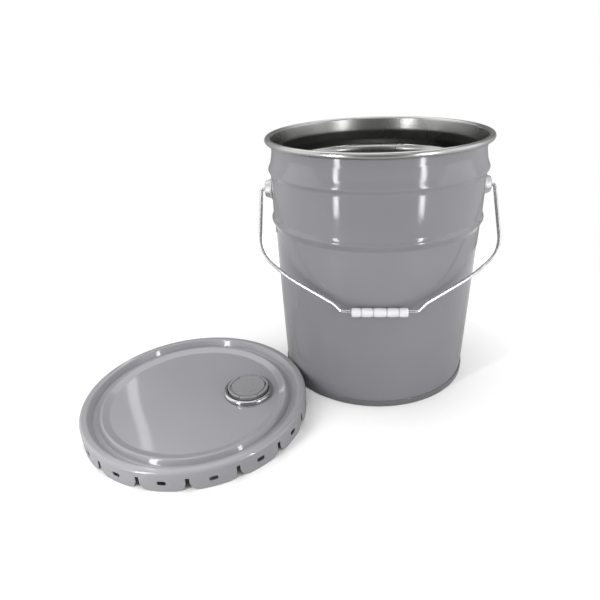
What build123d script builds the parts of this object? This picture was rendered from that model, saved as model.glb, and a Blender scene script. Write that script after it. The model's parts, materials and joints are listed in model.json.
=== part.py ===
from build123d import *
import math
import os

# Open-head steel paint pail with its lug cover, flexible pour spout and swinging bail.
# Millimetres, +Z up.  The origin is the centre of the pail's base on the floor, the two
# bail ears lie on X, and the bail hangs on the -Y side.  The cover lies on the floor.

# ---------------------------------------------------------------- driving dimensions
SHEET = 0.45                     # body and bottom sheet
COVER_SHEET = 0.6

PAIL_HEIGHT = 360.0
CURL_RADIUS = 4.0                # outside radius of the rolled rim
CURL_CENTRE_R = 151.5
CURL_SWEEP_DEG = 285
SEAM_HEIGHT = 9.0
SEAM_R = 141.4
BOTTOM_PANEL_Z = 7.0
CHUCK_WALL_R = 138.4             # inside of the bottom seam's fold

EAR_HEIGHT = 283.5
EAR_FACE_X = 160.0
EAR_SHEET = 1.0
EAR_FACE_R = 11.1
EAR_SIDE_R = 14.0
EAR_FLANGE_R = 17.0
WALL_AT_EARS = ((149.0, 240.0), (149.6, 312.0))

WIRE_R = 2.5
WIRE_IN_EAR_CLEARANCE = 0.06
WIRE_HEAD_R = 4.2
WIRE_HEAD_X = 153.7
WIRE_HEAD_LENGTH = 1.6
BAIL_DROP_DEG = 39.2             # how far the hanging bail lies below the horizontal
BAIL_RUN = 195.8                 # pivot to the straight run that carries the grip

GRIP_SEGMENTS = (-36.5, -24.0, -8.6, 8.6, 24.0, 36.5)
GRIP_R = 6.1
GRIP_CROWN = 0.45                # how much each segment's middle stands proud of its ends
GRIP_GROOVE_WIDTH = 0.8
GRIP_GROOVE_DEPTH = 0.6
GRIP_BORE_R = 4.6
GRIP_HANG = 1.8                  # the loose grip hangs this far below the wire's centre

COVER_CENTRE = (-259.7, -151.6)
COVER_TURN_DEG = 10.6            # direction of the spout from the cover's centre
COVER_TOP = 28.5
COVER_R = 158.9
COVER_PANEL_Z = 21.0
LUG_COUNT = 16
LUG_NOTCH_TOP = 19.0
LUG_NOTCH_WIDTH = 5.0
LUG_CORNER_R = 12.5
LUG_SLOT_Z = 13.0
LUG_SLOT_LENGTH = 11.0
LUG_SLOT_HEIGHT = 6.0
LUG_SLOT_CORNER_R = 2.2

SPOUT_OFFSET = 76.0              # cover centre to spout centre
SPOUT_HOLE_R = 31.0
SPOUT_COLLAR_HEIGHT = 3.6
CRIMP_SHEET = 0.45
CRIMP_R = 35.6
CRIMP_TOP = 27.4
CRIMP_INNER_R = 30.0
NECK_BORE_R = 18.5
NECK_R = 20.0
NECK_TOP = 27.9
NECK_BOTTOM = 4.8
NECK_LEDGE_R = 17.3
NECK_LEDGE_Z = 24.5
NECK_RIDGES = (16.4, 20.0, 23.6)
SEAL_THICKNESS = 0.8
LINER_THICKNESS = 0.85
CAP_TOP = 31.6
CAP_INSIDE_TOP = 29.0
CAP_DISC_R = 24.0
CAP_FLANGE_R = 28.4
CAP_FLANGE_Z = (25.2, 26.2)
CAP_SKIRT_R = 22.9
CAP_SKIRT_BOTTOM = 10.2
CAP_BORE_R = 20.9
RIM_INNER_R = 25.0
RIM_OUTER_R = 28.9
RIM_BOTTOM = 29.6
RIM_WEB_R = 26.8                 # web that holds the fixed stretches of the rim
HANDLE_START_X = 13.0
HANDLE_GAP = 1.0
FINGER_NOTCH = (5.2, 11.0, 1.2)  # depth, length and corner radius


# ---------------------------------------------------------------- shared shapes
def solid_of(shape):
    """The one solid of a result, without wrappers."""
    return shape.solids()[0]


def ring(points):
    """Full turn about Z of a closed outline of (radius, height) pairs."""
    outline = Polyline([(r, 0, z) for r, z in points], close=True)
    return revolve(make_face(outline), Axis.Z, 360)


def sheet_from(path, thickness, side):
    """Full turn about Z of a sheet on one side of a path drawn as (radius, height)."""
    section = Face(path.offset_2d(thickness, Kind.ARC, side, closed=True))
    return revolve(Plane.XZ * section, Axis.Z, 360)


def filleted_path(points, radii):
    """Path of straight lines with a fillet at each inner corner."""
    return Wire(FilletPolyline([Vector(u, v) for u, v in points], radius=radii).edges())


def both_ends(shape, side):
    """The shape as drawn on the +X side, or turned half round Z for the -X side."""
    return shape if side > 0 else shape.rotate(Axis.Z, 180)


# ---------------------------------------------------------------- pail
def pail_shell():
    """Tapered wall with two rolled beads, a necked top and an outward curl."""
    inner_face = [
        (138.93, 2.6),
        (139.6, SEAM_HEIGHT),
        (147.05, 238.5),
        (151.3, 247.5),
        (148.4, 251.65),
        (149.15, 311.0),
        (152.65, 316.2),
        (148.6, 325.5),
        (146.2, 340.0),
        (CURL_CENTRE_R - CURL_RADIUS, PAIL_HEIGHT - CURL_RADIUS),
    ]
    wall = filleted_path(inner_face, [40, 5, 3, 10, 12, 4, 25, 12])
    centre = Vector(CURL_CENTRE_R, PAIL_HEIGHT - CURL_RADIUS)
    curl = CenterArc(centre, CURL_RADIUS, 180, -CURL_SWEEP_DEG)
    return solid_of(sheet_from(Wire(wall.edges() + curl.edges()), SHEET, Side.RIGHT))


def bottom_end():
    """Countersunk bottom whose rim is rolled round the wall's lower edge."""
    fold_inner_r = 140.1
    outer_face = [
        (0, BOTTOM_PANEL_Z),
        (133.5, BOTTOM_PANEL_Z),
        (CHUCK_WALL_R, BOTTOM_PANEL_Z - 2.2),
        (CHUCK_WALL_R, 0),
        (SEAM_R, 0),
        (SEAM_R, SEAM_HEIGHT),
        (fold_inner_r, SEAM_HEIGHT),
        (fold_inner_r, 4.0),
    ]
    path = filleted_path(outer_face, [3, 2.5, 0.9, 0.9, 0.6, 0.6])
    return solid_of(sheet_from(path, SHEET, Side.LEFT))


def seam_compound():
    """Sealing compound that lines the inside of the bottom seam's fold."""
    return solid_of(ring([(139.3, 0.5), (140.4, 0.5), (140.4, 2.4), (139.3, 2.4)]))


def ear(side):
    """Pressed cup welded to the wall, with the pivot hole in its outer face."""
    hole_r = WIRE_R + WIRE_IN_EAR_CLEARANCE
    points = [
        (hole_r, EAR_FACE_X),
        (EAR_FACE_R, EAR_FACE_X),
        (EAR_SIDE_R, 151.8),
        (EAR_FLANGE_R, 149.2),
        (EAR_FLANGE_R, 146.0),
    ]
    cup = sheet_from(filleted_path(points, [2.4, 2.5, 0.8]), EAR_SHEET, Side.RIGHT)
    cup = Pos(0, 0, EAR_HEIGHT) * Rot(0, 90, 0) * cup
    low, high = WALL_AT_EARS
    wall_block = ring([(0, low[1]), low, high, (0, high[1])])
    whole = max((cup - wall_block).solids(), key=lambda piece: piece.volume)
    return both_ends(whole, side)


# ---------------------------------------------------------------- bail and grip
def bail_wire():
    """One bent wire whose upset heads are held behind the ears' faces."""
    half = filleted_path(
        [
            (152.9, 0),
            (166.2, 0),
            (161.4, 109.5),
            (118.0, 147.8),
            (60.0, 184.3),
            (48.5, BAIL_RUN),
            (0, BAIL_RUN),
        ],
        [5, 60, 140, 9, 7],
    )
    start = half.position_at(0)
    rod = sweep(Plane(start, z_dir=half.tangent_at(0)) * Circle(WIRE_R), path=half)
    head = Pos(WIRE_HEAD_X, 0, 0) * Rot(0, 90, 0) * Cylinder(WIRE_HEAD_R, WIRE_HEAD_LENGTH)
    right = rod + head
    flat = right + mirror(right, Plane.YZ)
    return solid_of(Pos(0, 0, EAR_HEIGHT) * Rot(180 + BAIL_DROP_DEG, 0, 0) * flat)


def bail_grip():
    """Moulded roll of five segments with a bore wider than the wire."""
    end_r = GRIP_R - GRIP_CROWN
    groove_r = end_r - GRIP_GROOVE_DEPTH
    arcs = []
    for left, right in zip(GRIP_SEGMENTS, GRIP_SEGMENTS[1:]):
        a, b = left + GRIP_GROOVE_WIDTH / 2, right - GRIP_GROOVE_WIDTH / 2
        arcs.append(ThreePointArc((a, end_r), ((a + b) / 2, GRIP_R), (b, end_r)))
    edges = [edge for arc in arcs for edge in arc.edges()]
    for before, after in zip(arcs, arcs[1:]):
        a, b = before @ 1, after @ 0
        edges += Polyline(a, (a.X, groove_r), (b.X, groove_r), b).edges()
    first, last = arcs[0] @ 0, arcs[-1] @ 1
    edges += Polyline(last, (last.X, GRIP_BORE_R), (first.X, GRIP_BORE_R), first).edges()
    roll = revolve(Face(Wire(edges)), Axis.X, 360)
    drop = math.radians(BAIL_DROP_DEG)
    y = -BAIL_RUN * math.cos(drop)
    z = EAR_HEIGHT - BAIL_RUN * math.sin(drop) - GRIP_HANG
    return solid_of(Pos(0, y, z) * roll)


# ---------------------------------------------------------------- cover
def place(shape):
    """Move a shape from the cover's own frame to where the cover lies."""
    return Pos(COVER_CENTRE[0], COVER_CENTRE[1], 0) * Rot(0, 0, COVER_TURN_DEG) * shape


def place_at_spout(shape):
    """Move a shape from the spout's own axis to where the cover lies."""
    return place(Pos(SPOUT_OFFSET, 0, 0) * shape)


def through_skirt(face):
    """Cutter that takes a shape drawn in YZ through the +X side of the skirt."""
    return Pos(COVER_R + 8, 0, 0) * (Plane.YZ * extrude(face, -16))


def lug_notch():
    """Slot between two lugs that opens out round their rounded lower corners."""
    half = LUG_NOTCH_WIDTH / 2
    wide = half + LUG_CORNER_R
    c45 = LUG_CORNER_R * math.cos(math.radians(45))
    middle = (wide - c45, LUG_CORNER_R - c45)
    right = ThreePointArc((wide, 0), middle, (half, LUG_CORNER_R))
    left = ThreePointArc((-half, LUG_CORNER_R), (-middle[0], middle[1]), (-wide, 0))
    top = Polyline(right @ 1, (half, LUG_NOTCH_TOP), (-half, LUG_NOTCH_TOP), left @ 0)
    bottom = Polyline(left @ 1, (-wide, -1), (wide, -1), right @ 0)
    return through_skirt(make_face(right.edges() + top.edges() + left.edges() + bottom.edges()))


def lug_slot():
    """Rounded slot through the middle of a lug."""
    slot = RectangleRounded(LUG_SLOT_LENGTH, LUG_SLOT_HEIGHT, LUG_SLOT_CORNER_R)
    return through_skirt(Pos(0, LUG_SLOT_Z) * slot)


def lid_cover():
    """Lug cover: recessed panel, raised ring, deep channel, crown and slotted skirt."""
    top_face = [
        (0, COVER_PANEL_Z),
        (119.5, COVER_PANEL_Z),
        (130.5, 25.3),
        (136.4, 18.2),
        (142.4, 18.2),
        (148.4, COVER_TOP),
        (COVER_R - 0.1, COVER_TOP),
        (COVER_R, 0),
    ]
    path = filleted_path(top_face, [8, 3.2, 3, 3, 3.2, 4])
    blank = solid_of(sheet_from(path, COVER_SHEET, Side.RIGHT))
    step = 360 / LUG_COUNT
    cutters = []
    for index in range(LUG_COUNT):
        cutters.append(Rot(0, 0, index * step) * lug_notch())
        cutters.append(Rot(0, 0, (index + 0.5) * step) * lug_slot())
    low = COVER_PANEL_Z - COVER_SHEET
    at_hole = Pos(SPOUT_OFFSET, 0, low)
    collar = at_hole * extrude(Circle(SPOUT_HOLE_R + COVER_SHEET), SPOUT_COLLAR_HEIGHT)
    hole = at_hole * Pos(0, 0, -1) * extrude(Circle(SPOUT_HOLE_R), SPOUT_COLLAR_HEIGHT + 2)
    return place(solid_of(blank - cutters + collar - hole))


def lid_gasket():
    """Flowed-in rubber ring that fills the underside of the crown."""
    outline = [(151.0, 25.6), (156.1, 25.6), (156.1, 27.0), (155.0, 27.7), (151.0, 27.7)]
    return place(solid_of(ring(outline)))


def spout_crimp_ring():
    """Steel ring rolled over the spout's flange and under the cover's collar."""
    foot_z = COVER_PANEL_Z + 0.02
    outer_face = [
        (CRIMP_INNER_R, CRIMP_TOP - 1.2),
        (CRIMP_INNER_R, CRIMP_TOP),
        (CRIMP_R, CRIMP_TOP),
        (CRIMP_R, foot_z),
        (33.4, foot_z),
    ]
    path = filleted_path(outer_face, [0.6, 2.9, 0.8])
    return place_at_spout(solid_of(sheet_from(path, CRIMP_SHEET, Side.RIGHT)))


# ---------------------------------------------------------------- flexible spout
def spout_wall():
    """Flange hooked over the collar, and the soft wall folded down round the neck."""
    outline = [
        (29.35, 26.1), (30.55, 26.1), (30.55, 26.9), (33.0, 26.9), (33.0, 22.0),
        (31.65, 22.0), (31.65, 24.05), (30.9, 24.05), (30.4, 9.0), (28.4, 5.2),
        (20.35, 4.9), (20.35, 6.1), (27.6, 6.4), (29.3, 9.6),
    ]
    return place_at_spout(solid_of(ring(outline)))


def spout_neck():
    """Stiff threaded neck with the ledge that carries the tear-out seal."""
    neck = ring([
        (NECK_BORE_R, NECK_BOTTOM), (NECK_R, NECK_BOTTOM), (NECK_R, NECK_TOP),
        (NECK_BORE_R, NECK_TOP), (NECK_BORE_R, NECK_LEDGE_Z), (NECK_LEDGE_R, NECK_LEDGE_Z),
        (NECK_LEDGE_R, NECK_LEDGE_Z - 1.2), (NECK_BORE_R, NECK_LEDGE_Z - 2.0),
    ])
    for height in NECK_RIDGES:
        neck += ring([
            (NECK_R - 0.3, height - 0.8), (NECK_R + 0.5, height - 0.25),
            (NECK_R + 0.5, height + 0.25), (NECK_R - 0.3, height + 0.8),
        ])
    return place_at_spout(solid_of(neck))


def neck_seal():
    """Tear-out disc on the neck's ledge with its pull loop."""
    disc_z = NECK_LEDGE_Z + 0.05
    loop_z = NECK_LEDGE_Z + 2.0
    disc = Pos(0, 0, disc_z) * extrude(Circle(NECK_BORE_R - 0.1), SEAL_THICKNESS)
    post = Pos(-12.5, 0, disc_z + 0.35) * extrude(Circle(1.3), 1.6)
    loop = Pos(-4.0, 0, loop_z) * Torus(8.5, 0.9)
    return place_at_spout(solid_of(disc + post + loop))


def rim_band(inner_r, outer_r, bottom, chamfer):
    """Ring round the cap's top disc, up to the height of its top."""
    return ring([
        (inner_r, bottom), (outer_r, bottom), (outer_r, CAP_TOP - chamfer),
        (outer_r - chamfer, CAP_TOP), (inner_r + 0.5, CAP_TOP), (inner_r, CAP_TOP - 0.5),
    ])


def spout_cap():
    """Screw cap: top disc, flange, skirt, and the two fixed stretches of its rim."""
    flange_low, flange_high = CAP_FLANGE_Z
    cap = ring([
        (0, CAP_TOP - 0.3), (CAP_DISC_R - 2.0, CAP_TOP - 0.3), (CAP_DISC_R - 1.4, CAP_TOP),
        (CAP_DISC_R - 0.5, CAP_TOP), (CAP_DISC_R, CAP_TOP - 0.5), (CAP_DISC_R, flange_high),
        (CAP_FLANGE_R, flange_high), (CAP_FLANGE_R, flange_low), (CAP_SKIRT_R, flange_low),
        (CAP_SKIRT_R, CAP_SKIRT_BOTTOM), (CAP_BORE_R, CAP_SKIRT_BOTTOM),
        (CAP_BORE_R, CAP_INSIDE_TOP), (0, CAP_INSIDE_TOP),
    ])
    fixed_half_width = HANDLE_START_X - HANDLE_GAP
    rim = rim_band(RIM_INNER_R, RIM_OUTER_R, RIM_BOTTOM, 0.6)
    web = rim_band(RIM_INNER_R, RIM_WEB_R, flange_high - 0.4, 0.6)
    cap += (rim + web) & Box(2 * fixed_half_width, 80, 80)
    return place_at_spout(solid_of(cap))


def cap_liner():
    """Soft washer disc inside the cap, just above the neck's rim."""
    disc = Pos(0, 0, NECK_TOP + 0.1) * extrude(Circle(CAP_BORE_R - 0.2), LINER_THICKNESS)
    return place_at_spout(solid_of(disc))


def pull_handle(side):
    """Half-round pull handle beside the cap's disc, with a finger notch inside."""
    depth, length, corner_r = FINGER_NOTCH
    band = rim_band(RIM_INNER_R, RIM_OUTER_R, RIM_BOTTOM, 0.6)
    handle = band & (Pos(HANDLE_START_X + 40, 0, 0) * Box(80, 80, 80))
    finger = RectangleRounded(depth, length, corner_r)
    notch = Pos(RIM_INNER_R - 1.2, 0, RIM_BOTTOM - 1) * extrude(finger, CAP_TOP - RIM_BOTTOM + 2)
    return place_at_spout(both_ends(solid_of(handle - notch), side))


# ---------------------------------------------------------------- assembly
NODES = {
    "pail_shell": pail_shell,
    "bottom_end": bottom_end,
    "seam_compound": seam_compound,
    "ear_right": lambda: ear(1),
    "ear_left": lambda: ear(-1),
    "bail_wire": bail_wire,
    "bail_grip": bail_grip,
    "lid_cover": lid_cover,
    "lid_gasket": lid_gasket,
    "spout_crimp_ring": spout_crimp_ring,
    "spout_wall": spout_wall,
    "spout_neck": spout_neck,
    "neck_seal": neck_seal,
    "spout_cap": spout_cap,
    "cap_liner": cap_liner,
    "pull_handle_outer": lambda: pull_handle(1),
    "pull_handle_inner": lambda: pull_handle(-1),
}

os.makedirs("parts", exist_ok=True)
for name, make in NODES.items():
    export_step(make(), f"parts/{name}.step")
    print(name)
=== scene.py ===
import json
import math

import bmesh
import bpy
from mathutils import Matrix, Vector

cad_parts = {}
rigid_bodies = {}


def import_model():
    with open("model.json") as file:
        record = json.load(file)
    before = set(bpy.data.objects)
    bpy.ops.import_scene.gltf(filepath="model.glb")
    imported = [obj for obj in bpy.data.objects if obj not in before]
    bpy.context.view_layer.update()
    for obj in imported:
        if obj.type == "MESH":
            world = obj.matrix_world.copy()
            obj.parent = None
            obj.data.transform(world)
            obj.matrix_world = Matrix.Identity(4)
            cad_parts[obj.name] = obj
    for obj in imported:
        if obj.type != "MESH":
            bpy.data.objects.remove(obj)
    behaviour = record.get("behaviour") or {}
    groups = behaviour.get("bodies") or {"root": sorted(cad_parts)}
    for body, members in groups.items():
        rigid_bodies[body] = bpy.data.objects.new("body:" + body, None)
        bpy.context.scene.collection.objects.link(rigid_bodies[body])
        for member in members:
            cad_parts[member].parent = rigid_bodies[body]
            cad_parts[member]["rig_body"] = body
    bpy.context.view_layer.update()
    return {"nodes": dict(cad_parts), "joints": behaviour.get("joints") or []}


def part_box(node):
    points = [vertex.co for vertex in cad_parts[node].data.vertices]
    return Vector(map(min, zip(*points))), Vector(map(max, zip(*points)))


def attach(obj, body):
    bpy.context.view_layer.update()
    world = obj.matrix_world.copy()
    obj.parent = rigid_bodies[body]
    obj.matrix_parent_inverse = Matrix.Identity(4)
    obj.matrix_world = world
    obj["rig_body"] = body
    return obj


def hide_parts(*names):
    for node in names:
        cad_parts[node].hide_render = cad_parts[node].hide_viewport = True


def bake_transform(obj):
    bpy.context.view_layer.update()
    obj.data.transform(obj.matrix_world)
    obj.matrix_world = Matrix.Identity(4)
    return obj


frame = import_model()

# Profiles are (radius, height) pairs in millimetres, the same ones the CAD part is turned
# from.  Places are read from the frame, so every piece lies where its CAD node lies.
MM = 0.001
SHEET = 0.45
COVER_SHEET = 0.6
EAR_SHEET = 1.0
CRIMP_SHEET = 0.45
COVER_R = 158.9
COVER_TOP = 28.5
PANEL_Z = 21.0
PANEL_R = 117.0
PANEL_HOLE_R = 33.4
PANEL_RINGS = 24
LUG_COUNT = 16
LUG_NOTCH_HALF = 2.5
LUG_NOTCH_TOP = 19.0
LUG_CORNER_R = 12.5
SLOT_HALF = (5.5, 3.0)
SLOT_CORNER_R = 2.2
SLOT_Z = 13.0
SLOT_PATCH_HALF = 8.0
# The cover's skirt is a grid of columns round it and rows up it.  A slot's patch of the grid
# starts this many columns after the lug's first one and this many rows above its lower edge,
# and reaches up to the top row.
PATCH_FIRST = 12
PATCH_SPAN = 8
PATCH_ROW = 3
TOP_ROW = 9
SPOUT_OFFSET = 76.0
NECK_R = 20.0
NECK_BORE_R = 18.5
NECK_RIDGES = (16.4, 20.0, 23.6)
LOOP_X = -4.0
LOOP_R = 8.5
LOOP_Z = 26.5
CAP_TOP = 31.6
CAP_DISC_R = 24.0
CAP_SKIRT_R = 22.9
CAP_BORE_R = 20.9
CAP_INSIDE_TOP = 29.0
FLANGE_Z = 26.2
RIM_BOTTOM = 29.6
RIM_INNER_R = 25.0
RIM_WEB_R = 26.8
RIM_R = 28.9
HANDLE_START_X = 13.0
RIM_FIXED_X = 12.0
CURL_X = 151.5
CURL_Z = 356
CURL_R = 4
CURL_TURN = 285
EAR_FLANGE_R = 16.2
WIRE_R = 2.5
BAIL_RUN = 195.8
GRIP_HANG = 1.8
SMOOTH_BELOW = math.radians(35)


def middle(node):
    """Centre of a CAD node's box, in metres."""
    low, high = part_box(node)
    return (low + high) / 2


bail_joint = [joint for joint in frame["joints"] if joint["name"] == "bail_swing"][0]
EAR_Z = bail_joint["pos_m"][2]
cover_centre = middle("lid_cover")
spout_centre = middle("spout_crimp_ring")
grip_centre = middle("bail_grip")
spout_way = spout_centre - cover_centre
COVER_TURN = math.atan2(spout_way.y, spout_way.x)
BAIL_DROP = math.atan2(EAR_Z - grip_centre.z - GRIP_HANG * MM, -grip_centre.y)
at_cover = Matrix.Translation((cover_centre.x, cover_centre.y, 0)) @ Matrix.Rotation(COVER_TURN, 4, "Z")
at_spout = at_cover @ Matrix.Translation((SPOUT_OFFSET * MM, 0, 0))


# ---------------------------------------------------------------- profiles
def corner_arc(before, corner, after, radius):
    """Points round one filleted corner."""
    back, on = (before - corner).normalized(), (after - corner).normalized()
    half = back.angle(on) / 2
    reach = min(radius / math.tan(half), 0.6 * (before - corner).length, 0.6 * (after - corner).length)
    radius = reach * math.tan(half)
    if radius < 1e-4:
        return [corner]
    centre = corner + (back + on).normalized() * (radius / math.sin(half))
    start, end = corner + back * reach - centre, corner + on * reach - centre
    first = math.atan2(start.y, start.x)
    turn = (math.atan2(end.y, end.x) - first + math.pi) % math.tau - math.pi
    steps = max(2, math.ceil(abs(turn) / math.radians(8)))
    angles = [first + turn * i / steps for i in range(steps + 1)]
    return [centre + Vector((math.cos(a), math.sin(a))) * radius for a in angles]


def filleted(points, radii):
    """Open path with its inner corners rounded."""
    points = [Vector(p) for p in points]
    path = [points[0]]
    for before, corner, after, radius in zip(points, points[1:], points[2:], radii):
        path += corner_arc(before, corner, after, radius)
    return path + [points[-1]]


def rounded(points, radius):
    """Closed outline with every corner rounded alike, where there is room for it."""
    points = [Vector(p) for p in points]
    outline = []
    for before, corner, after in zip(points[-1:] + points, points, points[1:] + points[:1]):
        on_axis = corner.x < 1e-6
        outline += [corner] if on_axis else corner_arc(before, corner, after, radius)
    return outline


def supported(points, gap):
    """The points, with two more near the ends of each long straight so that it shades flat."""
    path = [points[0]]
    for a, b in zip(points, points[1:]):
        share = gap / max((b - a).length, 1e-9)
        if share < 0.25:
            path += [a.lerp(b, share), b.lerp(a, share)]
        path.append(b)
    return path


def divided(points, spacing):
    """Points along the path no further apart than spacing, without its last point."""
    path = []
    for a, b in zip(points, points[1:]):
        count = max(1, math.ceil((b - a).length / spacing))
        path += [a.lerp(b, i / count) for i in range(count)]
    return path


def sheet_outline(path, thickness):
    """Closed outline of a sheet lying on the right of its path."""
    other = []
    for before, here, after in zip(path[:1] + path, path, path[1:] + path[-1:]):
        along = (here - before).normalized() + (after - here).normalized()
        along.normalize()
        other.append(here + Vector((along.y, -along.x)) * thickness)
    return path + other[::-1]


# ---------------------------------------------------------------- meshes
def mesh_object(name, bm, place, materials):
    """Object from a mesh in its own frame in mm, with ring positions kept for the materials."""
    bmesh.ops.remove_doubles(bm, verts=bm.verts, dist=1e-5)
    mesh = bpy.data.meshes.new(name)
    bm.to_mesh(mesh)
    bm.free()
    lines = mesh.attributes.new("ring_line", "FLOAT", "POINT")
    lines.data.foreach_set("value", [math.hypot(v.co.x, v.co.y) - v.co.z for v in mesh.vertices])
    mesh.transform(place @ Matrix.Scale(MM, 4))
    for material in materials:
        mesh.materials.append(material)
    obj = bpy.data.objects.new(name, mesh)
    bpy.context.scene.collection.objects.link(obj)
    shade(mesh)
    return obj


def shade(mesh):
    mesh.polygons.foreach_set("use_smooth", [True] * len(mesh.polygons))
    mesh.set_sharp_from_angle(angle=SMOOTH_BELOW)


def baked(obj):
    """The object with its modifiers made into mesh."""
    graph = bpy.context.evaluated_depsgraph_get()
    mesh = bpy.data.meshes.new_from_object(obj.evaluated_get(graph))
    obj.modifiers.clear()
    obj.data = mesh
    shade(mesh)
    return obj


def settle(obj, node):
    """The piece rides on the body of its CAD node and stands in for the node, which is hidden."""
    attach(obj, frame["nodes"][node]["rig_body"])
    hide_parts(node)


def ring_of_verts(bm, radius, height, count):
    if radius < 1e-6:
        return [bm.verts.new((0, 0, height))] * count
    angles = [math.tau * k / count for k in range(count)]
    return [bm.verts.new((radius * math.cos(a), radius * math.sin(a), height)) for a in angles]


def join_loops(bm, a, b, tint=0):
    """Faces between two loops of equal length; a pole's repeated vertex gives triangles."""
    count = len(a)
    for k in range(count):
        corners = [a[k], a[(k + 1) % count], b[(k + 1) % count], b[k]]
        face_verts = list(dict.fromkeys(corners))
        if len(face_verts) > 2:
            bm.faces.new(face_verts).material_index = tint


def lathe(name, outline, materials, place=Matrix.Identity(4), tints=None, count=256):
    """Closed outline turned about Z.  tints gives the material of each outline edge."""
    bm = bmesh.new()
    add_lathe(bm, outline, tints, count)
    bmesh.ops.recalc_face_normals(bm, faces=bm.faces)
    return mesh_object(name, bm, place, materials)


def add_lathe(bm, outline, tints=None, count=256):
    rings = [ring_of_verts(bm, p.x, p.y, count) for p in outline]
    for i, ring in enumerate(rings):
        after = rings[(i + 1) % len(rings)]
        if len(set(ring)) == 1 and len(set(after)) == 1:
            continue
        join_loops(bm, ring, after, tints[i] if tints else 0)


def add_stretch(bm, outline, angle_of, middle_angle, steps):
    """Part of a ring: each point of its outline goes angle_of(its radius) each way."""
    sections = []
    for i in range(steps + 1):
        share = 2 * i / steps - 1
        section = []
        for p in outline(share):
            a = middle_angle + share * angle_of(p.x)
            section.append(bm.verts.new((p.x * math.cos(a), p.x * math.sin(a), p.y)))
        sections.append(section)
    for a, b in zip(sections, sections[1:]):
        join_loops(bm, a, b)
    bm.faces.new(sections[0])
    bm.faces.new(sections[-1][::-1])


def add_tube(bm, points, radii, sides=24):
    """Round tube along points in one plane, with a radius at each point."""
    side = (points[1] - points[0]).cross(points[len(points) // 2] - points[0]).normalized()
    angles = [math.tau * k / sides for k in range(sides)]
    loops = []
    around = zip(points[:1] + points, points, points[1:] + points[-1:], radii)
    for before, here, after, radius in around:
        along = (after - before).normalized()
        up = side.cross(along)
        outward = [side * math.cos(a) + up * math.sin(a) for a in angles]
        loops.append([bm.verts.new(here + way * radius) for way in outward])
    for a, b in zip(loops, loops[1:]):
        join_loops(bm, a, b)
    bm.faces.new(loops[0])
    bm.faces.new(loops[-1])


# ---------------------------------------------------------------- materials
def map_range(tree, source, start, end, low, high):
    """Output that goes from low to high as the source goes from start to end."""
    node = tree.nodes.new("ShaderNodeMapRange")
    for name, value in (("From Min", start), ("From Max", end), ("To Min", low), ("To Max", high)):
        node.inputs[name].default_value = value
    tree.links.new(source, node.inputs["Value"])
    return node.outputs["Result"]


class Shader:
    """A Principled material whose inputs are set to values or driven by noise."""

    def __init__(self, name, metallic=0.0, coat=0.0, coat_rough=0.08, ior=1.5):
        self.material = bpy.data.materials.new(name)
        self.material.use_nodes = True
        self.tree = self.material.node_tree
        self.base = self.tree.nodes["Principled BSDF"]
        self.base.inputs["Metallic"].default_value = metallic
        self.base.inputs["Coat Weight"].default_value = coat
        self.base.inputs["Coat Roughness"].default_value = coat_rough
        self.base.inputs["IOR"].default_value = ior
        self.place = self.tree.nodes.new("ShaderNodeTexCoord").outputs["Object"]
        self.height = None

    def link(self, source, target):
        self.tree.links.new(source, target)

    def stretched(self, scale):
        node = self.tree.nodes.new("ShaderNodeMapping")
        node.inputs["Scale"].default_value = scale
        self.link(self.place, node.inputs["Vector"])
        return node.outputs["Vector"]

    def noise(self, per_metre, detail=3.0, stretch=None):
        """Noise with that many features to the metre."""
        node = self.tree.nodes.new("ShaderNodeTexNoise")
        node.inputs["Scale"].default_value = per_metre
        node.inputs["Detail"].default_value = detail
        node.inputs["Roughness"].default_value = 0.55
        self.link(self.stretched(stretch) if stretch else self.place, node.inputs["Vector"])
        return node.outputs["Fac"]

    def from_axis(self):
        """Distance out from the piece's own axis less the height, in mm."""
        line = self.tree.nodes.new("ShaderNodeAttribute")
        line.attribute_name = "ring_line"
        return line.outputs["Fac"]

    def rings(self, per_mm):
        """Noise that runs round the piece's own axis in lines."""
        node = self.tree.nodes.new("ShaderNodeTexNoise")
        node.noise_dimensions = "1D"
        node.inputs["Scale"].default_value = per_mm
        node.inputs["Detail"].default_value = 2.0
        self.link(self.from_axis(), node.inputs["W"])
        return node.outputs["Fac"]

    def cells(self, per_metre):
        """Flat crystal patches, as zinc spangle has."""
        node = self.tree.nodes.new("ShaderNodeTexVoronoi")
        node.inputs["Scale"].default_value = per_metre
        self.link(self.place, node.inputs["Vector"])
        split = self.tree.nodes.new("ShaderNodeSeparateColor")
        self.link(node.outputs["Color"], split.inputs["Color"])
        return split.outputs["Red"]

    def ranged(self, source, low, high, start=0.3, end=0.7):
        return map_range(self.tree, source, start, end, low, high)

    def colour(self, source, dark, light, start=0.3, end=0.7):
        node = self.tree.nodes.new("ShaderNodeMix")
        node.data_type = "RGBA"
        self.link(self.ranged(source, 0.0, 1.0, start, end), node.inputs["Factor"])
        tinted = [socket for socket in node.inputs if socket.type == "RGBA"]
        tinted[0].default_value = (*dark, 1)
        tinted[1].default_value = (*light, 1)
        result = [socket for socket in node.outputs if socket.type == "RGBA"][0]
        self.link(result, self.base.inputs["Base Color"])

    def roughness(self, source, low, high):
        self.link(self.ranged(source, low, high), self.base.inputs["Roughness"])

    def bump(self, source, height_mm):
        """One more layer of relief, over those added before."""
        node = self.tree.nodes.new("ShaderNodeBump")
        node.inputs["Strength"].default_value = 1.0
        node.inputs["Distance"].default_value = height_mm * MM
        self.link(source, node.inputs["Height"])
        if self.height:
            self.link(self.height, node.inputs["Normal"])
        self.height = node.outputs["Normal"]
        self.link(self.height, self.base.inputs["Normal"])


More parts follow.
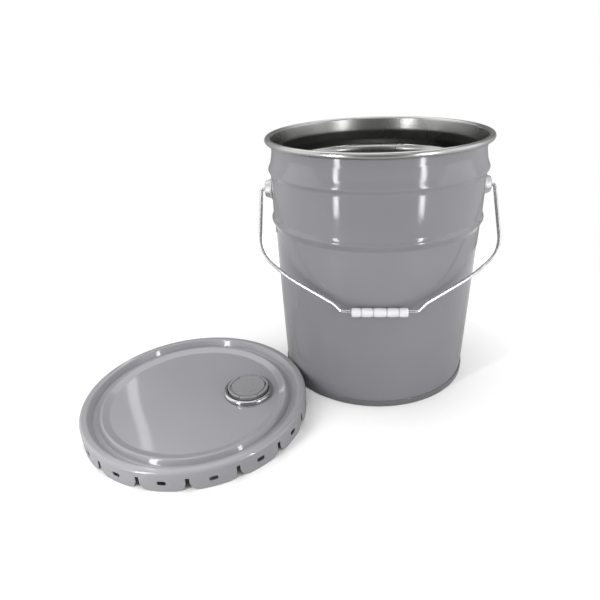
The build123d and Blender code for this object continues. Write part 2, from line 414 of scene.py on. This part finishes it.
def enamel(name, dark, light, rough, coat=0.0):
    """Stoved gloss enamel: even colour, faint orange peel, slow waves in the sheet below."""
    shader = Shader(name, coat=coat, coat_rough=0.06, ior=1.38)
    shader.colour(shader.noise(9, 2), dark, light)
    shader.roughness(shader.noise(60, 3), rough, rough + 0.08)
    shader.bump(shader.noise(14, 1), 0.07)
    shader.bump(shader.noise(420, 2), 0.006)
    return shader.material


def bare_steel(name, dark, light, rough):
    """Rolled sheet under clear lacquer: fine lines round the axis and slow, soft shades."""
    shader = Shader(name, metallic=1.0, coat=0.12, coat_rough=0.15)
    shader.colour(shader.noise(12, 2), dark, light)
    shader.roughness(shader.noise(16, 1), rough, rough + 0.06)
    shader.bump(shader.noise(11, 1), 0.05)
    shader.bump(shader.rings(0.7), 0.0006)
    return shader.material


def zinc(name, dark, light, crystals, rough, grain_mm=0.02):
    """Zinc coat with spangle and a dusty bloom."""
    shader = Shader(name, metallic=0.9)
    shader.colour(shader.cells(crystals), dark, light, 0.0, 1.0)
    shader.roughness(shader.noise(crystals * 2, 3), rough, rough + 0.2)
    shader.bump(shader.noise(900, 3), grain_mm)
    return shader.material


def moulded(name, dark, light, rough, grain_mm=0.012, subsurface=0.0):
    """Moulded plastic: fine spark-eroded grain and slow flow marks."""
    shader = Shader(name, ior=1.46)
    shader.base.inputs["Subsurface Weight"].default_value = subsurface
    shader.base.inputs["Subsurface Scale"].default_value = 0.003
    shader.colour(shader.noise(70, 3, (1, 1, 3)), dark, light)
    shader.roughness(shader.noise(260, 3), rough, rough + 0.14)
    shader.bump(shader.noise(1600, 2), grain_mm)
    return shader.material


PAIL_PAINT = enamel("pail_enamel", (0.185, 0.182, 0.196), (0.199, 0.196, 0.210), 0.06)
# Darker copy of the pail's enamel: painted shade on the bottom seam and under the pail.
SEAM_SHADE_PAINT = enamel("seam_painted_shade_enamel", (0.118, 0.116, 0.123), (0.135, 0.133, 0.141), 0.10, coat=0.5)
COVER_PAINT = enamel("cover_enamel", (0.250, 0.247, 0.262), (0.268, 0.264, 0.280), 0.30, coat=0.6)
STEEL = bare_steel("bare_steel", (0.34, 0.34, 0.335), (0.38, 0.38, 0.375), 0.26)
# Near-black steel for the cover's underside: painted shade under the cover.
COVER_UNDERSIDE_SHADE = bare_steel("cover_underside_painted_shade", (0.08, 0.08, 0.08), (0.13, 0.13, 0.13), 0.45)
RING_STEEL = bare_steel("ring_steel", (0.40, 0.40, 0.41), (0.48, 0.48, 0.49), 0.14)
EAR_ZINC = zinc("ear_zinc", (0.42, 0.42, 0.43), (0.56, 0.56, 0.57), 260, 0.34)
WIRE_ZINC = zinc("wire_zinc", (0.58, 0.58, 0.59), (0.68, 0.68, 0.69), 120, 0.14, 0.003)
# Near-black for the ears' flanges: a painted contact shadow where the cups meet the wall.
EAR_FLANGE_SHADE = moulded("ear_flange_painted_shadow", (0.03, 0.03, 0.03), (0.05, 0.05, 0.05), 0.60)
GRIP_WHITE = moulded("grip_white", (0.60, 0.60, 0.63), (0.68, 0.68, 0.70), 0.30, 0.010, 0.15)
# Darker grey for the grip's grooves: painted shade in the grooves.
GRIP_GROOVE_SHADE = moulded("grip_groove_painted_shade", (0.42, 0.42, 0.44), (0.50, 0.50, 0.52), 0.50)
# Dark grey for the spout's wall and neck: the plastic's own grey, darkened as painted shade in the gap
# under the cap's rim.
SPOUT_SHADE_GREY = moulded("spout_grey_painted_shade", (0.085, 0.084, 0.088), (0.105, 0.104, 0.108), 0.40)
CAP_GREY = moulded("cap_grey", (0.205, 0.204, 0.214), (0.225, 0.224, 0.234), 0.25)
SEAL_GREY = moulded("seal_grey", (0.36, 0.36, 0.37), (0.41, 0.41, 0.42), 0.42)
LINER_WHITE = moulded("liner_foam", (0.76, 0.76, 0.73), (0.84, 0.84, 0.81), 0.70, 0.05)
GASKET_RUBBER = moulded("gasket_rubber", (0.50, 0.48, 0.43), (0.58, 0.56, 0.50), 0.62, 0.03)
COMPOUND = moulded("seam_compound", (0.10, 0.10, 0.095), (0.15, 0.15, 0.14), 0.70, 0.03)


# ---------------------------------------------------------------- pail
def make_pail():
    wall = filleted(
        [(138.93, 2.6), (139.6, 9.0), (147.05, 238.5), (151.3, 247.5), (148.4, 251.65),
         (149.15, 311.0), (152.65, 316.2), (148.6, 325.5), (146.2, 340.0), (147.5, 356.0)],
        [40, 5, 3, 10, 12, 4, 25, 12],
    )
    steps = 40
    turns = [math.radians(180 - CURL_TURN * i / steps) for i in range(1, steps + 1)]
    curl = [Vector((CURL_X + CURL_R * math.cos(a), CURL_Z + CURL_R * math.sin(a))) for a in turns]
    path = supported(wall, 1.5) + curl
    outline = sheet_outline(path, SHEET)
    tints = [0] * len(path) + [1] * len(path)
    settle(lathe("pail_body", outline, [STEEL, PAIL_PAINT], tints=tints, count=360), "pail_shell")


def make_bottom():
    path = filleted(
        [(0, 7), (133.5, 7), (138.4, 4.8), (138.4, 0), (141.4, 0), (141.4, 9), (140.1, 9), (140.1, 4)],
        [3, 2.5, 0.9, 0.9, 0.6, 0.6],
    )
    path = supported(path, 0.8)
    outline = sheet_outline(path, -SHEET)
    # The bottom end's outside takes the darker enamel as painted shade; its inside is bare steel.
    tints = [0] * len(path) + [1] * len(path)
    settle(lathe("pail_bottom", outline, [SEAM_SHADE_PAINT, STEEL], tints=tints, count=360), "bottom_end")
    bead = rounded([(139.3, 0.5), (140.4, 0.5), (140.4, 2.4), (139.3, 2.4)], 0.3)
    settle(lathe("seam_bead", bead, [COMPOUND]), "seam_compound")


def pail_neck_r(z):
    """Radius of the neck's outer face, which the ears' flanges lie on, at a height z."""
    return 149.05 + 0.5 * (z - 266) / 45


def make_ear(node, side):
    """Round cup whose flange is bent to the pail's wall."""
    path = filleted(
        [(2.56, 160.0), (11.1, 160.0), (14.0, 151.8), (17.0, 149.2), (17.0, 146.0)],
        [2.4, 2.5, 0.8],
    )
    outline = sheet_outline(divided(path, 0.8), EAR_SHEET)
    # The flange's outer band is near-black, a painted contact shadow between the cup and the wall.
    tints = [int(p.x > EAR_FLANGE_R) for p in outline]
    place = Matrix.Translation((0, 0, EAR_Z)) @ Matrix.Rotation(math.radians(90 * side), 4, "Y")
    obj = lathe(node + "_cup", outline, [EAR_ZINC, EAR_FLANGE_SHADE], place, tints, 96)
    for vertex in obj.data.vertices:
        x, y, z = vertex.co
        wall_r = pail_neck_r(z / MM) * MM
        if math.hypot(x, y) < wall_r:
            vertex.co.x = side * math.sqrt(wall_r ** 2 - y ** 2)
    obj.data.update()
    settle(obj, node)


# ---------------------------------------------------------------- bail and grip
def make_bail():
    """Wire with an upset head at each end: one half in the plane it hangs in, then its mirror."""
    half = filleted(
        [(152.9, 0), (166.2, 0), (161.4, 109.5), (118.0, 147.8), (60.0, 184.3),
         (48.5, BAIL_RUN), (0, BAIL_RUN)],
        [5, 60, 140, 9, 7],
    )
    head = [(152.9, 3.6), (153.2, 4.2), (154.2, 4.2), (154.5, 3.9), (154.6, WIRE_R)]
    shank_x = 156.0
    beyond = [p for p in half if p.y > 1e-6 or p.x > shank_x]
    route = [Vector((x, 0)) for x, _ in head] + [Vector((shank_x, 0))] + beyond
    radii = [radius for _, radius in head] + [WIRE_R] * (len(route) - len(head))
    down, along = math.sin(BAIL_DROP), math.cos(BAIL_DROP)
    points = [Vector((p.x, -p.y * along, EAR_Z / MM - p.y * down)) for p in route]
    mirrored = [Vector((-p.x, p.y, p.z)) for p in points[:-1]]
    bm = bmesh.new()
    add_tube(bm, points + mirrored[::-1], radii + radii[:-1][::-1])
    bmesh.ops.recalc_face_normals(bm, faces=bm.faces)
    settle(mesh_object("bail_rod", bm, Matrix.Identity(4), [WIRE_ZINC]), "bail_wire")


def make_grip():
    """Roll of five crowned segments with grooves between them."""
    edges = [-36.5, -24.0, -8.6, 8.6, 24.0, 36.5]
    crown_r, crown, groove_r, groove_half = 6.1, 0.45, 5.05, 0.4
    bore_r, bore_half = 4.6, 36.1
    round_drop, round_width = 0.35, 0.6
    outline = [Vector((bore_r, -bore_half))]
    for left, right in zip(edges, edges[1:]):
        a, b = left + groove_half, right - groove_half
        half = (b - a) / 2
        outline += [Vector((groove_r, a))] if left > edges[0] else []
        for i in range(13):
            share = i / 6 - 1
            into_round = max(0.0, (abs(share) * half - half + round_width) / round_width)
            radius = crown_r - crown * share ** 2 - round_drop * into_round ** 2
            outline.append(Vector((radius, (a + b) / 2 + share * half)))
        outline += [Vector((groove_r, b))] if right < edges[-1] else []
    outline.append(Vector((bore_r, bore_half)))
    # The grooves and the ends of the segments beside them take the darker grey, painted shade in the
    # grooves.
    tints = [int(bore_r < p.x < groove_r + 0.3) for p in outline]
    place = Matrix.Translation(grip_centre) @ Matrix.Rotation(math.radians(90), 4, "Y")
    settle(lathe("bail_roll", outline, [GRIP_WHITE, GRIP_GROOVE_SHADE], place, tints, 96), "bail_grip")


# ---------------------------------------------------------------- cover
def slot_edge(angle):
    """Point of the rounded slot's edge in that direction from its centre."""
    c, s = abs(math.cos(angle)), abs(math.sin(angle))
    reach = min(SLOT_HALF[0] / max(c, 1e-9), SLOT_HALF[1] / max(s, 1e-9))
    corner_x, corner_y = SLOT_HALF[0] - SLOT_CORNER_R, SLOT_HALF[1] - SLOT_CORNER_R
    if reach * c > corner_x and reach * s > corner_y:
        b = corner_x * c + corner_y * s
        reach = b + math.sqrt(b * b - corner_x ** 2 - corner_y ** 2 + SLOT_CORNER_R ** 2)
    return Vector((reach * math.cos(angle), reach * math.sin(angle)))


def skirt_r(z):
    return COVER_R - 0.1 * z / COVER_TOP


def skirt_point(t, z):
    """Point of the skirt's outside at a distance t round it and a height z."""
    angle = t / COVER_R
    return Vector((skirt_r(z) * math.cos(angle), skirt_r(z) * math.sin(angle), z))


def cover_columns():
    """Distances round the skirt of the mesh columns of one lug pitch, and the pitch."""
    pitch = math.tau * COVER_R / LUG_COUNT
    corner_end = LUG_NOTCH_HALF + LUG_CORNER_R
    patch_start = pitch / 2 - SLOT_PATCH_HALF
    half = [0, LUG_NOTCH_HALF / 2, LUG_NOTCH_HALF]
    half += [corner_end - LUG_CORNER_R * math.cos(math.radians(15 * i)) for i in range(1, 7)]
    half += [corner_end + (patch_start - corner_end) * i / 4 for i in range(1, 5)]
    half += [patch_start + SLOT_PATCH_HALF * i / 4 for i in range(1, 5)]
    return half + [pitch - t for t in half[-2:0:-1]], pitch


def lug_bottom(t, pitch):
    """Height of a lug's lower edge, t round from a notch's centre; nothing in the notch."""
    away = min(t, pitch - t)
    if away < LUG_NOTCH_HALF - 1e-6:
        return None
    inside = max(0.0, LUG_NOTCH_HALF + LUG_CORNER_R - away)
    return LUG_CORNER_R - math.sqrt(max(0.0, LUG_CORNER_R ** 2 - inside ** 2))


def sag(x, y, share):
    """Slow unevenness of the thin panel, fading out at its hole and its rim."""
    fade = math.sin(math.pi * min(max(share, 0), 1))
    return 0.10 * fade * (math.sin(x / 31 + 0.7) * math.cos(y / 37) + 0.6 * math.sin((x + y) / 24))


def panel_and_crown(bm, angles):
    """Loops of vertices from the spout's collar out over the panel and down the skirt's top."""
    def ring(centre_x, radius, height, share=None):
        verts = []
        for a in angles:
            x, y = centre_x + radius * math.cos(a), radius * math.sin(a)
            lift = 0.0 if share is None else sag(x, y, share)
            verts.append(bm.verts.new((x, y, height + lift)))
        return verts

    collar = filleted([(31.6, 24.0), (31.6, PANEL_Z), (PANEL_HOLE_R, PANEL_Z)], [0.9])
    loops = [ring(SPOUT_OFFSET, p.x, p.y) for p in collar]
    for i in range(1, PANEL_RINGS + 1):
        share = i / PANEL_RINGS
        radius = PANEL_HOLE_R + (PANEL_R - PANEL_HOLE_R) * share
        loops.append(ring(SPOUT_OFFSET * (1 - share), radius, PANEL_Z, share))
    profile = filleted(
        [(PANEL_R, PANEL_Z), (119.5, PANEL_Z), (130.5, 25.3), (136.4, 18.2), (142.4, 18.2),
         (148.4, COVER_TOP), (COVER_R - 0.1, COVER_TOP), (skirt_r(LUG_NOTCH_TOP), LUG_NOTCH_TOP)],
        [8, 3.2, 3, 3, 3.2, 4],
    )
    return loops + [ring(0, p.x, p.y) for p in supported(profile, 0.6)[1:]]


def lug_grid(bm, columns, pitch, top_row):
    """Vertices of the lugs, column by column and from the bottom up; None for a notch's middle."""
    row_heights = [0, 2.4, 4.8, 7, 9, 11, 13, 15, 17]
    grid = []
    for index, top in enumerate(top_row):
        t = columns[index % len(columns)]
        low = lug_bottom(t, pitch)
        if low is None:
            grid.append(None)
            continue
        start = pitch * (index // len(columns))
        squeeze = (LUG_NOTCH_TOP - low) / LUG_NOTCH_TOP
        rows = [bm.verts.new(skirt_point(start + t, low + z * squeeze)) for z in row_heights]
        grid.append(rows + [top])
    return grid


def add_lugs(bm, columns, pitch, top_row):
    grid = lug_grid(bm, columns, pitch, top_row)
    patch = range(PATCH_FIRST, PATCH_FIRST + PATCH_SPAN)
    for index, here in enumerate(grid):
        after = grid[(index + 1) % len(grid)]
        if here is None or after is None:
            continue
        for row in range(TOP_ROW):
            if index % len(columns) in patch and row >= PATCH_ROW:
                continue
            bm.faces.new([here[row], after[row], after[row + 1], here[row + 1]])
    for lug in range(LUG_COUNT):
        add_slot(bm, grid, lug, len(columns), pitch)


def make_cover():
    """The outer face as one sheet, thickened inwards."""
    bm = bmesh.new()
    columns, pitch = cover_columns()
    angles = [(lug * pitch + t) / COVER_R for lug in range(LUG_COUNT) for t in columns]
    loops = panel_and_crown(bm, angles)
    for a, b in zip(loops, loops[1:]):
        join_loops(bm, a, b)
    add_lugs(bm, columns, pitch, loops[-1])

    bmesh.ops.recalc_face_normals(bm, faces=bm.faces)
    bm.faces.ensure_lookup_table()
    highest = max(bm.faces, key=lambda face: face.calc_center_median().z)
    if highest.normal.z < 0:
        bmesh.ops.reverse_faces(bm, faces=bm.faces)
    # The inner side of the thickened sheet takes the near-black steel, painted shade under the cover.
    obj = mesh_object("cover_sheet", bm, at_cover, [COVER_PAINT, COVER_UNDERSIDE_SHADE])
    sheet = obj.modifiers.new("sheet", "SOLIDIFY")
    sheet.thickness = COVER_SHEET * MM
    sheet.offset = -1
    sheet.use_even_offset = True
    sheet.material_offset = 1
    settle(baked(obj), "lid_cover")


def add_slot(bm, grid, lug, per_lug, pitch):
    """Rings of faces from a lug's patch of the grid in to the edge of its slot."""
    first = lug * per_lug + PATCH_FIRST
    last = first + PATCH_SPAN
    sides = [grid[column][PATCH_ROW] for column in range(first, last + 1)]
    sides += [grid[last][row] for row in range(PATCH_ROW + 1, TOP_ROW + 1)]
    sides += [grid[column][TOP_ROW] for column in range(last - 1, first - 1, -1)]
    sides += [grid[first][row] for row in range(TOP_ROW - 1, PATCH_ROW, -1)]
    middle_t = pitch * (lug + 0.5)
    outer = []
    for vertex in sides:
        turn = math.atan2(vertex.co.y, vertex.co.x) - middle_t / COVER_R
        turn = (turn + math.pi) % math.tau - math.pi
        outer.append(Vector((turn * COVER_R, vertex.co.z - SLOT_Z)))
    inner = [slot_edge(math.atan2(p.y, p.x)) for p in outer]
    loops = [sides]
    for share in (0.45, 0.8, 1.0):
        points = [p.lerp(q, share) for p, q in zip(outer, inner)]
        loops.append([bm.verts.new(skirt_point(middle_t + p.x, SLOT_Z + p.y)) for p in points])
    for a, b in zip(loops, loops[1:]):
        join_loops(bm, a, b)


def make_ring_and_gasket():
    crimp = filleted(
        [(30.0, 26.2), (30.0, 27.4), (35.6, 27.4), (35.6, 21.02), (PANEL_HOLE_R, 21.02)],
        [0.6, 2.9, 0.8],
    )
    outline = sheet_outline(crimp, CRIMP_SHEET)
    settle(lathe("spout_ring", outline, [RING_STEEL], at_spout, count=160), "spout_crimp_ring")

    gasket = rounded([(151.0, 25.6), (156.1, 25.6), (156.1, 27.0), (155.0, 27.7), (151.0, 27.7)], 0.5)
    settle(lathe("cover_gasket", gasket, [GASKET_RUBBER], at_cover), "lid_gasket")


def make_spout_fold():
    """Soft wall from the crimped flange down and in to the neck."""
    wall = rounded(
        [(29.35, 26.1), (30.55, 26.1), (30.55, 26.9), (33.0, 26.9), (33.0, 22.0), (31.65, 22.0),
         (31.65, 24.05), (30.9, 24.05), (30.4, 9.0), (28.4, 5.2), (20.35, 4.9), (20.35, 6.1),
         (27.6, 6.4), (29.3, 9.6)],
        0.6,
    )
    # The fold takes the darkened grey, painted shade under the cap's rim.
    folded = lathe("spout_fold", divided(wall + wall[:1], 0.5), [SPOUT_SHADE_GREY], at_spout, count=128)
    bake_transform(folded)
    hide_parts("spout_wall")


def make_neck():
    outline = [(NECK_BORE_R, 4.8), (NECK_R, 4.8)]
    for height in NECK_RIDGES:
        outline += [
            (NECK_R, height - 0.65), (NECK_R + 0.5, height - 0.25),
            (NECK_R + 0.5, height + 0.25), (NECK_R, height + 0.65),
        ]
    outline += [(NECK_R, 27.9), (NECK_BORE_R, 27.9), (NECK_BORE_R, 24.5)]
    outline += [(17.3, 24.5), (17.3, 23.3), (NECK_BORE_R, 22.5)]
    # The neck takes the darkened grey, painted shade under the cap's rim.
    throat = lathe("spout_throat", rounded(outline, 0.35), [SPOUT_SHADE_GREY], at_spout, count=128)
    settle(throat, "spout_neck")


def make_seal_and_liner():
    """Tear-out disc with its pull loop, and the washer in the cap."""
    bm = bmesh.new()
    add_lathe(bm, rounded([(0, 24.55), (18.4, 24.55), (18.4, 25.35), (0, 25.35)], 0.25), count=96)
    angles = [math.tau * i / 48 for i in range(48)]
    loop = [Vector((LOOP_X + LOOP_R * math.cos(a), LOOP_R * math.sin(a), LOOP_Z)) for a in angles]
    add_ring_tube(bm, loop, 0.9)
    post = [Vector((LOOP_X - LOOP_R, 0, z)) for z in (24.9, 25.5, 26.1, LOOP_Z)]
    add_tube(bm, post, [1.5, 1.3, 1.3, 1.1], 16)
    bmesh.ops.recalc_face_normals(bm, faces=bm.faces)
    settle(mesh_object("tear_out_seal", bm, at_spout, [SEAL_GREY]), "neck_seal")

    liner = rounded([(0, 28.0), (20.7, 28.0), (20.7, 28.85), (0, 28.85)], 0.3)
    settle(lathe("cap_washer", liner, [LINER_WHITE], at_spout, count=96), "cap_liner")


def add_ring_tube(bm, points, radius, sides=16):
    """Closed round tube in a level plane."""
    centre = sum(points, Vector()) / len(points)
    angles = [math.tau * k / sides for k in range(sides)]
    loops = []
    for p in points:
        out = (p - centre).normalized()
        loop = []
        for a in angles:
            rise = Vector((0, 0, radius * math.sin(a)))
            loop.append(bm.verts.new(p + out * radius * math.cos(a) + rise))
        loops.append(loop)
    for a, b in zip(loops, loops[1:] + loops[:1]):
        join_loops(bm, a, b)


def rim_outline(inner_r, web_bottom=None):
    """Section of the rim round the cap's disc; where it is fixed, a web goes down to the flange."""
    low = [(inner_r, RIM_BOTTOM)]
    if web_bottom is not None:
        low = [(inner_r, web_bottom), (RIM_WEB_R, web_bottom), (RIM_WEB_R, RIM_BOTTOM)]
    return rounded(low + [(RIM_R, RIM_BOTTOM), (RIM_R, CAP_TOP), (inner_r, CAP_TOP)], 0.5)


def make_cap():
    """Disc with a raised edge, flange and skirt, with the rim's two fixed stretches on webs."""
    bm = bmesh.new()
    disc_top, skirt_bottom, flange_bottom, flange_r = CAP_TOP - 0.3, 10.2, 25.2, 28.4
    outline = rounded(
        [(0, disc_top), (22.2, disc_top), (22.9, CAP_TOP), (CAP_DISC_R, CAP_TOP),
         (CAP_DISC_R, FLANGE_Z), (flange_r, FLANGE_Z), (flange_r, flange_bottom),
         (CAP_SKIRT_R, flange_bottom), (CAP_SKIRT_R, skirt_bottom), (CAP_BORE_R, skirt_bottom),
         (CAP_BORE_R, CAP_INSIDE_TOP), (0, CAP_INSIDE_TOP)],
        0.35,
    )
    add_lathe(bm, outline, count=160)
    for way in (1, -1):
        add_stretch(
            bm,
            lambda share: rim_outline(RIM_INNER_R, FLANGE_Z - 0.4),
            lambda radius: math.asin(RIM_FIXED_X / radius),
            math.radians(90 * way),
            24,
        )
    bmesh.ops.recalc_face_normals(bm, faces=bm.faces)
    settle(mesh_object("screw_cap", bm, at_spout, [CAP_GREY]), "spout_cap")


def make_handle(node, side):
    """Half-round handle with a finger notch in the middle of its inner edge."""
    notch_depth, notch_half, notch_end = 1.4, 4.6, 0.9

    def section(share):
        angle = abs(share) * math.acos(HANDLE_START_X / RIM_INNER_R)
        past_notch = (RIM_INNER_R * math.sin(angle) - notch_half) / notch_end
        depth = notch_depth * (1 - min(max(past_notch, 0), 1))
        return rim_outline(RIM_INNER_R + depth)

    bm = bmesh.new()
    middle_angle = 0 if side > 0 else math.pi
    add_stretch(bm, section, lambda radius: math.acos(HANDLE_START_X / radius), middle_angle, 96)
    bmesh.ops.recalc_face_normals(bm, faces=bm.faces)
    settle(mesh_object(node + "_loop", bm, at_spout, [CAP_GREY]), node)


make_pail()
make_bottom()
make_ear("ear_right", 1)
make_ear("ear_left", -1)
make_bail()
make_grip()
make_cover()
make_ring_and_gasket()
make_spout_fold()
make_neck()
make_seal_and_liner()
make_cap()
make_handle("pull_handle_outer", 1)
make_handle("pull_handle_inner", -1)


# ---------------------------------------------------------------- studio
# The floor's radius and the glow's two radii are in millimetres, and the rest is in metres.
FLOOR_R = 700
FLOOR_RING = 50
GLOW_FROM_TO = (330, 660)
FLOOR_PLACE = (-0.10, -0.06, -0.0003)
CAMERA_PLACE = Vector((-0.0418, -0.7564, 0.4755))
CAMERA_YAW, CAMERA_PITCH, CAMERA_ROLL = -0.0994, 0.4574, -0.0471
CAMERA_LENS = 31.53


def studio_floor():
    """Plain pale round floor, greyer to bounced light, that glows towards its edge to end unseen."""
    bm = bmesh.new()
    loops = [ring_of_verts(bm, radius, 0, 96) for radius in range(0, FLOOR_R + 1, FLOOR_RING)]
    for a, b in zip(loops, loops[1:]):
        join_loops(bm, b, a)
    floor = mesh_object("studio_floor", bm, Matrix.Translation(FLOOR_PLACE), [])
    shader = Shader("floor_white")
    path = shader.tree.nodes.new("ShaderNodeLightPath")
    shader.colour(path.outputs["Is Camera Ray"], (0.46, 0.46, 0.46), (0.95, 0.95, 0.95), 0, 1)
    shader.roughness(shader.noise(5, 2), 0.6, 0.7)
    shader.base.inputs["Emission Color"].default_value = (1, 1, 1, 1)
    glow = shader.ranged(shader.from_axis(), 0.0, 0.45, *GLOW_FROM_TO)
    shader.link(glow, shader.base.inputs["Emission Strength"])
    floor.data.materials.append(shader.material)


def softbox(name, place, aim, width, height, power, shape="RECTANGLE"):
    data = bpy.data.lights.new(name, "AREA")
    data.shape = shape
    data.size, data.size_y = width, height
    data.energy = power
    light = bpy.data.objects.new(name, data)
    bpy.context.scene.collection.objects.link(light)
    light.location = place
    light.rotation_mode = "QUATERNION"
    light.rotation_quaternion = (Vector(aim) - Vector(place)).to_track_quat("-Z", "Y")


def studio_lights():
    """Two tall strips and a thin tube that show in the paint, and four wide soft banks."""
    sides = (("left", -1), ("right", 1))
    for name, side in sides:
        softbox("strip_" + name, (side * 0.60, -0.70, 0.36), (0, 0, 0.36), 0.080, 0.68, 4.2)
    softbox("tube_back_left", (-1.057, 1.229, 1.22), (-0.33, -0.195, 1.22), 0.05, 0.95, 0.65)
    softbox("bank_back", (-0.3, 0.9, 2.2), (-0.2, -0.1, 0), 3.0, 1.8, 38)
    for name, side in sides:
        softbox("bank_" + name, (side * 1.6, -0.1, 0.95), (0, 0, 0.45), 1.6, 1.9, 7, "ELLIPSE")
    softbox("bank_front", (0, -1.0, 1.9), (0, 0, 0.3), 1.8, 0.6, 6)


def surroundings():
    """Room that is light near the ground and at its sides, seen as plain white behind."""
    world = bpy.data.worlds.new("studio")
    bpy.context.scene.world = world
    world.use_nodes = True
    tree = world.node_tree
    back = tree.nodes["Background"]
    split = tree.nodes.new("ShaderNodeSeparateXYZ")
    tree.links.new(tree.nodes.new("ShaderNodeTexCoord").outputs["Generated"], split.inputs[0])

    def joined(operation, *sources):
        node = tree.nodes.new("ShaderNodeMath")
        node.operation = operation
        for source, target in zip(sources, node.inputs):
            tree.links.new(source, target)
        return node.outputs["Value"]

    fade = map_range(tree, split.outputs["Z"], -0.05, 0.25, 0.34, 0.24)
    sides = map_range(tree, joined("ABSOLUTE", split.outputs["X"]), 0.45, 1.0, 0.0, 0.80)
    seen = tree.nodes.new("ShaderNodeLightPath").outputs["Is Camera Ray"]
    strength = joined("MAXIMUM", joined("ADD", fade, sides), seen)
    tree.links.new(strength, back.inputs["Strength"])
    back.inputs["Color"].default_value = (1, 1, 1, 1)


def camera():
    yaw, pitch, roll = CAMERA_YAW, CAMERA_PITCH, CAMERA_ROLL
    level = math.cos(pitch)
    forward = Vector((math.sin(yaw) * level, math.cos(yaw) * level, -math.sin(pitch)))
    right = Vector((math.cos(yaw), -math.sin(yaw), 0))
    up = right.cross(forward)
    right, up = (
        math.cos(roll) * right + math.sin(roll) * up,
        math.cos(roll) * up - math.sin(roll) * right,
    )
    turn = Matrix((right, up, -forward)).transposed().to_4x4()
    data = bpy.data.cameras.new("photo_view")
    data.lens = CAMERA_LENS
    data.sensor_width = 36.0
    data.clip_start, data.clip_end = 0.02, 50.0
    view = bpy.data.objects.new("photo_view", data)
    bpy.context.scene.collection.objects.link(view)
    view.matrix_world = Matrix.Translation(CAMERA_PLACE) @ turn
    bpy.context.scene.camera = view


studio_floor()
studio_lights()
surroundings()
camera()
bpy.context.scene.view_settings.view_transform = "Standard"
